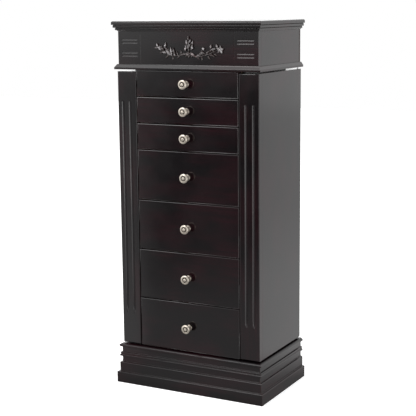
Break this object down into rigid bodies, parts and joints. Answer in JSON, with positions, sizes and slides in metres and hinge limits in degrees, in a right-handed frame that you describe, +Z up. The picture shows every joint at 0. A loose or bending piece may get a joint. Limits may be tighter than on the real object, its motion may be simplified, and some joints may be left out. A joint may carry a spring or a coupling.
{
  "type": "jewelry armoire",
  "caption": "Standing jewelry armoire: a column of small and deep drawers, swing-out side doors with necklace hooks, and a flip-top lid over a lined compartment.",
  "frame": {"origin": "on the floor, at the centre of the bounding box's footprint, knobs and lid hinge included", "axes": "+Z up, +Y from the drawer fronts to the back, +X to the right of someone facing the drawers"},
  "size_m": [0.4576, 0.2996, 1.016],
  "materials": {
    "wood": "dark espresso satin lacquer",
    "back": "dark stained board",
    "runner": "bare sanded wood",
    "drawer_box": "dark stained, satin",
    "carving": "cast resin, lacquered, rubbed on its high spots",
    "velvet": "short black pile",
    "mirror": "silvered glass",
    "nickel": "antique nickel",
    "brass": "satin",
    "steel": "satin"
  },
  "bodies": {
    "case": {"base_back": "wood", "base_deck": "wood", "base_front": "wood", "base_left": "wood", "base_right": "wood", "case_back": "back", "case_left": "wood", "case_right": "wood", "compartment_tray": "velvet", "frieze_block_left": "wood", "frieze_block_right": "wood", "frieze_ornament": "carving", "frieze_panel": "wood", "lid_hinge_fixed": "brass", "ring_rolls": "velvet", "runners_left": "runner", "runners_right": "runner", "upper_back": "back", "upper_left": "wood", "upper_right": "wood", "waist_board": "wood", "waist_moulding": "wood"},
    "lid": {"lid_board": "wood", "lid_mirror": "mirror", "mirror_frame": "wood", "lid_hinge_moving": "brass"},
    "door_left": {"door_left_panel": "wood", "door_left_stile": "wood", "door_left_frame": "wood", "door_left_hooks": "brass", "door_left_pin_lower": "steel", "door_left_pin_upper": "steel"},
    "door_right": {"door_right_panel": "wood", "door_right_stile": "wood", "door_right_frame": "wood", "door_right_hooks": "brass", "door_right_pin_lower": "steel", "door_right_pin_upper": "steel"},
    "drawer_1": {"drawer_1_front": "wood", "drawer_1_box": "drawer_box", "drawer_1_knob": "nickel"},
    "drawer_2": {"drawer_2_front": "wood", "drawer_2_box": "drawer_box", "drawer_2_knob": "nickel"},
    "drawer_3": {"drawer_3_front": "wood", "drawer_3_box": "drawer_box", "drawer_3_knob": "nickel"},
    "drawer_4": {"drawer_4_front": "wood", "drawer_4_box": "drawer_box", "drawer_4_knob": "nickel"},
    "drawer_5": {"drawer_5_front": "wood", "drawer_5_box": "drawer_box", "drawer_5_knob": "nickel"},
    "drawer_6": {"drawer_6_front": "wood", "drawer_6_box": "drawer_box", "drawer_6_knob": "nickel"},
    "drawer_7": {"drawer_7_front": "wood", "drawer_7_box": "drawer_box", "drawer_7_knob": "nickel"}
  },
  "joints": [
    {"name": "lid_hinge", "type": "hinge", "parent": "case", "child": "lid", "pos_m": [0, 0.1468, 0.99], "axis": [-1, 0, 0], "range_deg": [0, 100]},
    {"name": "door_left_hinge", "type": "hinge", "parent": "case", "child": "door_left", "pos_m": [-0.206, 0.1372, 0.117], "axis": [0, 0, -1], "range_deg": [0, 100]},
    {"name": "door_right_hinge", "type": "hinge", "parent": "case", "child": "door_right", "pos_m": [0.206, 0.1372, 0.117], "axis": [0, 0, 1], "range_deg": [0, 100]},
    {"name": "drawer_1_slide", "type": "slide", "parent": "case", "child": "drawer_1", "axis": [0, -1, 0], "range_m": [0, 0.18]},
    {"name": "drawer_2_slide", "type": "slide", "parent": "case", "child": "drawer_2", "axis": [0, -1, 0], "range_m": [0, 0.18]},
    {"name": "drawer_3_slide", "type": "slide", "parent": "case", "child": "drawer_3", "axis": [0, -1, 0], "range_m": [0, 0.18]},
    {"name": "drawer_4_slide", "type": "slide", "parent": "case", "child": "drawer_4", "axis": [0, -1, 0], "range_m": [0, 0.18]},
    {"name": "drawer_5_slide", "type": "slide", "parent": "case", "child": "drawer_5", "axis": [0, -1, 0], "range_m": [0, 0.18]},
    {"name": "drawer_6_slide", "type": "slide", "parent": "case", "child": "drawer_6", "axis": [0, -1, 0], "range_m": [0, 0.18]},
    {"name": "drawer_7_slide", "type": "slide", "parent": "case", "child": "drawer_7", "axis": [0, -1, 0], "range_m": [0, 0.18]}
  ]
}
